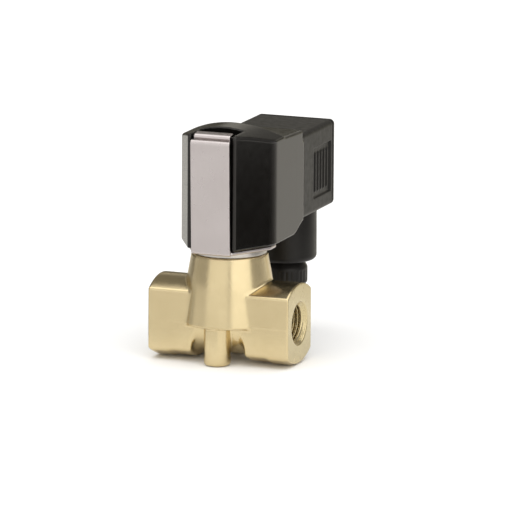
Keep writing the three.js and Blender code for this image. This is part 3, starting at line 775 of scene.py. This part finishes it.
def shell_section(x, z, inset, corner):
    """Rounded section of the connector, inset from its outside."""
    half, half_height = SHELL_HALF - inset, SHELL_HALF_HEIGHT - inset
    return meet(np.abs(x) - half, np.abs(z - SHELL_MID_Z) - half_height, corner)


def connector_field(x, y, z):
    ax = np.abs(x)
    shell = meet(shell_section(x, z, 0, SHELL_CORNER), SHELL_FRONT_Y - y, 0.5)
    shell = meet(shell, y - SHELL_BACK_Y, 0.2)
    # gland tube, cut away behind the shell where the cover sits
    gland = np.hypot(x, y - GLAND_Y)
    tube = meet(gland - 11.2 + 0.006 * (z - GLAND_BOTTOM_Z), GLAND_BOTTOM_Z - z, 1.8)
    tube = np.maximum(tube, z - 33)
    tube = cut(tube, np.maximum(SHELL_BACK_Y - y, 28.1 - z), 0.15)
    shell = join(shell, tube, 0.8)
    # recessed panel with plain upright ribs, on both sides
    depth = SHELL_HALF - ax
    panel = block(depth, y, z, -2, 0.6, 42.2, 58.9, 33.7, 51.0, 0.35)
    shell = cut(shell, panel, 0.18)
    for rib in (44.9, 47.7, 50.5, 53.3, 56.1):
        bar = block(ax, y, z, 12.8, 13.8, rib - 0.7, rib + 0.7, 35.6, 49.1, 0.3)
        shell = join(shell, bar, 0.15)
    # the hollow and the gland's bore
    shell = cut(shell, shell_section(x, z, 2, 0.6), 0.1)
    bore = np.minimum(drum(gland, 7.2, z, 0, 26), drum(gland, 5.2, z, 20, 33.4))
    return cut(shell, bore, 0.3)


def cover_field(x, y, z):
    lid = meet(shell_section(x, z, 0, SHELL_CORNER), SHELL_BACK_Y + 0.25 - y, 0.2)
    lid = meet(lid, y - COVER_BACK_Y, 0.7)
    # recess for the screw's head, a fine groove round the face, the screw's hole
    r = np.hypot(x, z - SCREW_Z)
    lid = cut(lid, drum(r, 4.2, y, 61.6, 70), 0.25)
    groove_line = meet(np.abs(x) - 11.4, np.abs(z - SHELL_MID_Z) - 12.1, 1.5)
    lid = cut(lid, np.maximum(np.abs(groove_line) - 0.25, COVER_BACK_Y - 0.35 - y), 0.1)
    return cut(lid, r - 1.9, 0.1)


def gasket_field(x, y, z):
    plate = meet(np.abs(x) - 13.4, np.abs(z - 43.35) - 13.55, 2.0)
    plate = meet(plate, np.abs(y - 26.9) - 0.6, 0.25)
    holes = np.hypot(x, z - SCREW_Z) - 2.1
    holes = np.minimum(holes, contact_pockets(x, y, z, 1.1, 3.8, 20, 30))
    return cut(plate, holes, 0.1)


def screw_field(x, y, z):
    up = z - SCREW_Z
    r = np.hypot(x, up)
    shaft = meet(drum(r, 1.45, y, SCREW_TIP_Y, 62), SCREW_TIP_Y - y, 0.4)
    pitch = 0.5
    phase = ((y - SCREW_TIP_Y) / pitch - np.arctan2(up, x) / (2 * np.pi)) % 1.0
    thread = 0.22 * (np.abs(phase - 0.5) * 2) * (1 - step(y, 28, 29))
    shaft = (shaft + thread) * 0.8
    head = meet(meet(r - SCREW_HEAD_R, 61.7 - y, 0.15), y - 62.55, 0.45)
    screw = join(shaft, head, 0.15)
    # cross slot
    half_slot, reach = 0.38, 2.0
    across = np.minimum(
        np.maximum(np.abs(x) - half_slot, np.abs(up) - reach),
        np.maximum(np.abs(up) - half_slot, np.abs(x) - reach),
    )
    return cut(screw, np.maximum(across, 61.95 - y), 0.08)


def nut_field(x, y, z):
    r = np.hypot(x, y - GLAND_Y)
    angle = np.arctan2(y - GLAND_Y, x)
    rib_count = 28
    ribs = 0.16 * (0.5 + 0.5 * np.cos(angle * rib_count)) ** 2
    ribs = ribs * step(z, 2.9, 3.4) * (1 - step(z, 6.8, 7.4))
    head = meet(meet(r - NUT_R + ribs, NUT_BOTTOM_Z - z, 0.9), z - NUT_HEAD_Z, 0.2)
    head = meet(head, (2 * (r - 6.9) + 1.2 * (z - NUT_HEAD_Z)) / 2.332, edge(1.6, 31))
    shank = meet(drum(r, 6.9, z, 7, NUT_TOP_Z), z - NUT_TOP_Z, 0.3)
    pitch = 1.5
    phase = ((z - 7.6) / pitch - angle / (2 * np.pi)) % 1.0
    shank = (shank + 0.45 * (np.abs(phase - 0.5) * 2) * step(z, 10.2, 10.8)) * 0.85
    nut = join(head, shank, 0.25)
    return cut(nut, r - 3.6, 0.4)


def make_connector():
    low = (-SHELL_HALF, SHELL_FRONT_Y, GLAND_BOTTOM_Z)
    high = (SHELL_HALF, COVER_BACK_Y - 0.1, SHELL_TOP_Z)
    housing = from_field("connector_shell", connector_field, low, high, voxel=0.3)
    place(housing, "coil", "connector_housing", CONNECTOR_BLACK)
    low = (-SHELL_HALF, 60.5, SHELL_BOTTOM_Z)
    high = (SHELL_HALF, COVER_BACK_Y, SHELL_TOP_Z)
    cover = from_field("connector_lid", cover_field, low, high, voxel=0.25)
    place(cover, "coil", "connector_cover", CONNECTOR_BLACK)
    low, high = (-13.4, 26.3, 29.8), (13.4, 27.5, 56.9)
    gasket = from_field("flat_gasket", gasket_field, low, high, voxel=0.28)
    place(gasket, "coil", "connector_gasket", RUBBER)
    low, high = (-SCREW_HEAD_R, SCREW_TIP_Y, 40), (SCREW_HEAD_R, COVER_BACK_Y, 45.9)
    screw = from_field("centre_screw", screw_field, low, high, voxel=0.14)
    place(screw, "coil", "connector_screw", ZINC)
    low, high = (-NUT_R, 43.2, NUT_BOTTOM_Z), (NUT_R, 59.4, NUT_TOP_Z)
    nut = from_field("ribbed_gland_nut", nut_field, low, high, voxel=0.19)
    place(nut, "coil", "gland_nut", CONNECTOR_BLACK)
    seal = turned(
        "gland_grommet",
        [(3.7, 18), (6.9, 18), (6.9, 25.2), (3.7, 25.2)],
        centre=(0, GLAND_Y),
        radius=0.5,
    )
    place(seal, "coil", "gland_seal", RUBBER)
    washer = turned(
        "gland_slip_washer",
        [(3.9, 16.9), (6.9, 16.9), (6.9, 17.7), (3.9, 17.7)],
        centre=(0, GLAND_Y),
        radius=0.15,
    )
    place(washer, "coil", "gland_washer", ZINC)


# ------------------------------------------------------------------ pieces kept from the frame

INNER_LOOKS = {
    "valve_seat": STAINLESS,
    "guide_tube": STAINLESS,
    "tube_nut": BRASS_TOP,
    "tube_seal_ring": RUBBER,
    "fixed_core": IRON,
    "shading_ring": WIRE,
    "retaining_ring": STEEL,
    "armature": IRON,
    "armature_seal": SEAL_GREEN,
    "coil_bobbin": NYLON,
    "coil_winding": WIRE,
    "flux_sleeve": IRON,
    "flux_plate_lower": IRON,
    "flux_plate_upper": IRON,
    "terminal_block": NYLON,
    "contact_blade_1": ZINC,
    "contact_blade_2": ZINC,
    "contact_blade_earth": ZINC,
    "contact_socket_1": BRASS_TOP,
    "contact_socket_2": BRASS_TOP,
    "contact_socket_earth": BRASS_TOP,
}


def dress_inner_parts():
    for node, look in INNER_LOOKS.items():
        obj = frame["nodes"][node]
        if not obj.material_slots:
            obj.data.materials.append(look)
        for slot in obj.material_slots:
            slot.material = look


# ------------------------------------------------------------------ stage, light and camera

def aim(obj, position, target):
    back = (Vector(position) - Vector(target)).normalized()
    obj.matrix_world = Matrix.Translation(position) @ back.to_track_quat("Z", "Y").to_matrix().to_4x4()


def direction(azimuth, elevation):
    """Unit vector away from the valve; azimuth 0 is in front of the strap, 90 on the +X side."""
    a, e = math.radians(azimuth), math.radians(elevation)
    return Vector((math.sin(a) * math.cos(e), -math.cos(a) * math.cos(e), math.sin(e)))


def softbox(name, azimuth, elevation, distance, width, height, power):
    """Area light aimed at the valve's middle; sizes in metres."""
    data = bpy.data.lights.new(name, "AREA")
    data.shape = "RECTANGLE"
    data.size, data.size_y = width, height
    data.energy = power
    light = bpy.data.objects.new(name, data)
    bpy.context.scene.collection.objects.link(light)
    centre = Vector((0, AXIS_Y, PORT_Z + 0.02))
    aim(light, centre + direction(azimuth, elevation) * distance, centre)
    light.visible_camera = False


def card(name, azimuths, distances, heights, shade):
    """Curved card that only reflections see; it shapes the highlights on metal and gloss."""
    columns = 16
    points, faces = [], []
    for i in range(columns + 1):
        out = direction(azimuths[0] + (azimuths[1] - azimuths[0]) * i / columns, 0)
        for distance, height in zip(distances, heights):
            points.append((out.x * distance, out.y * distance + AXIS_Y, height))
    for i in range(columns):
        a = 2 * i
        faces.append((a, a + 2, a + 3, a + 1))
    mesh = bpy.data.meshes.new(name)
    mesh.from_pydata(points, [], faces)
    sheet = bpy.data.objects.new(name, mesh)
    bpy.context.scene.collection.objects.link(sheet)
    look = bpy.data.materials.new(name)
    look.use_nodes = True
    tree = look.node_tree
    tree.nodes.clear()
    glow = tree.nodes.new("ShaderNodeEmission")
    glow.inputs["Color"].default_value = (*shade, 1)
    surface = tree.nodes.new("ShaderNodeOutputMaterial")
    tree.links.new(glow.outputs[0], surface.inputs["Surface"])
    mesh.materials.append(look)
    sheet.visible_camera = False
    sheet.visible_diffuse = False
    sheet.visible_shadow = False
    sheet.visible_transmission = False


def make_floor():
    mesh = bpy.data.meshes.new("floor")
    s = 6.0
    mesh.from_pydata([(-s, -s, 0), (s, -s, 0), (s, s, 0), (-s, s, 0)], [], [(0, 1, 2, 3)])
    floor = bpy.data.objects.new("floor", mesh)
    bpy.context.scene.collection.objects.link(floor)
    floor.location.z = -0.0001
    n = Nodes("floor_paper")
    n.to(n.ramp(n.noise(3), (0.93, 0.93, 0.925), (0.95, 0.95, 0.945)), "Base Color")
    n.set(Roughness=0.9, Specular_IOR_Level=0.1)
    mesh.materials.append(n.material)


def make_world():
    world = bpy.data.worlds.new("studio")
    bpy.context.scene.world = world
    world.use_nodes = True
    background = world.node_tree.nodes["Background"]
    background.inputs["Color"].default_value = (1.0, 0.985, 0.96, 1)
    background.inputs["Strength"].default_value = 0.45


def make_table_cards():
    """Flat cards just above the floor, which give the table its shades in reflections."""
    level = (0.001, 0.001)
    card("table_left", (-150, -75), (0.045, 0.6), level, (0.55, 0.55, 0.53))
    card("table_front", (-75, 18), (0.045, 0.26), level, (0.98, 0.97, 0.95))
    card("table_far", (-75, 18), (0.26, 0.6), level, (0.84, 0.83, 0.82))
    card("table_right", (18, 84), (0.045, 0.6), level, (1.18, 1.16, 1.13))
    card("table_dark", (84, 102), (0.13, 0.46), level, (0.015, 0.014, 0.013))
    # from the dark stretch the table brightens again in steps
    fade_start, fade_width = 102, 6.3
    for k, glow in enumerate((0.03, 0.07, 0.14, 0.25, 0.4, 0.6, 0.82)):
        a = fade_start + fade_width * k
        shade = (glow, glow * 0.96, glow * 0.88)
        card(f"table_fade_{k}", (a, a + fade_width), (0.13, 0.5), level, shade)
    card("table_back", (146.1, 230), (0.1, 0.52), level, (0.96, 0.92, 0.83))


def make_wall_cards():
    """Upright cards behind the valve, in bands from the floor up."""
    away = (0.55, 0.55)
    card("wall_foot", (146, 188), away, (0.0, 0.115), (0.7, 0.66, 0.52))
    card("wall_foot_left", (188, 262), away, (0.0, 0.115), (0.12, 0.11, 0.09))
    card("wall_low", (140, 262), away, (0.115, 0.165), (0.06, 0.055, 0.035))
    card("wall_middle", (140, 262), away, (0.165, 0.26), (0.60, 0.57, 0.50))
    card("wall_high", (140, 262), away, (0.26, 1.1), (0.18, 0.17, 0.15))


def make_stage():
    make_floor()
    make_world()
    softbox("key", azimuth=53, elevation=20, distance=1.2, width=1.35, height=1.1, power=5.5)
    softbox("fill", azimuth=-12, elevation=20, distance=1.2, width=1.35, height=1.1, power=3.4)
    softbox("top", azimuth=150, elevation=87, distance=2.0, width=4.0, height=4.0, power=68.0)
    make_table_cards()
    make_wall_cards()
    bpy.context.scene.view_settings.view_transform = "Standard"


def make_camera():
    focal_ratio = 200 / 17  # focal length over the image's width
    distance, roll = 1.9993, 0.34
    data = bpy.data.cameras.new("camera")
    data.sensor_width = 36
    data.lens = focal_ratio * data.sensor_width
    data.clip_start, data.clip_end = 0.1, 20
    camera = bpy.data.objects.new("camera", data)
    bpy.context.scene.collection.objects.link(camera)
    target = Vector(to_world((8.96, 0.0, 21.98)).tolist())
    aim(camera, target + direction(20.87, 11.72) * distance, target)
    camera.matrix_world = camera.matrix_world @ Matrix.Rotation(math.radians(roll), 4, "Z")
    bpy.context.scene.camera = camera


make_body()
make_coil()
make_spring()
make_clip()
make_connector()
dress_inner_parts()
make_stage()
make_camera()
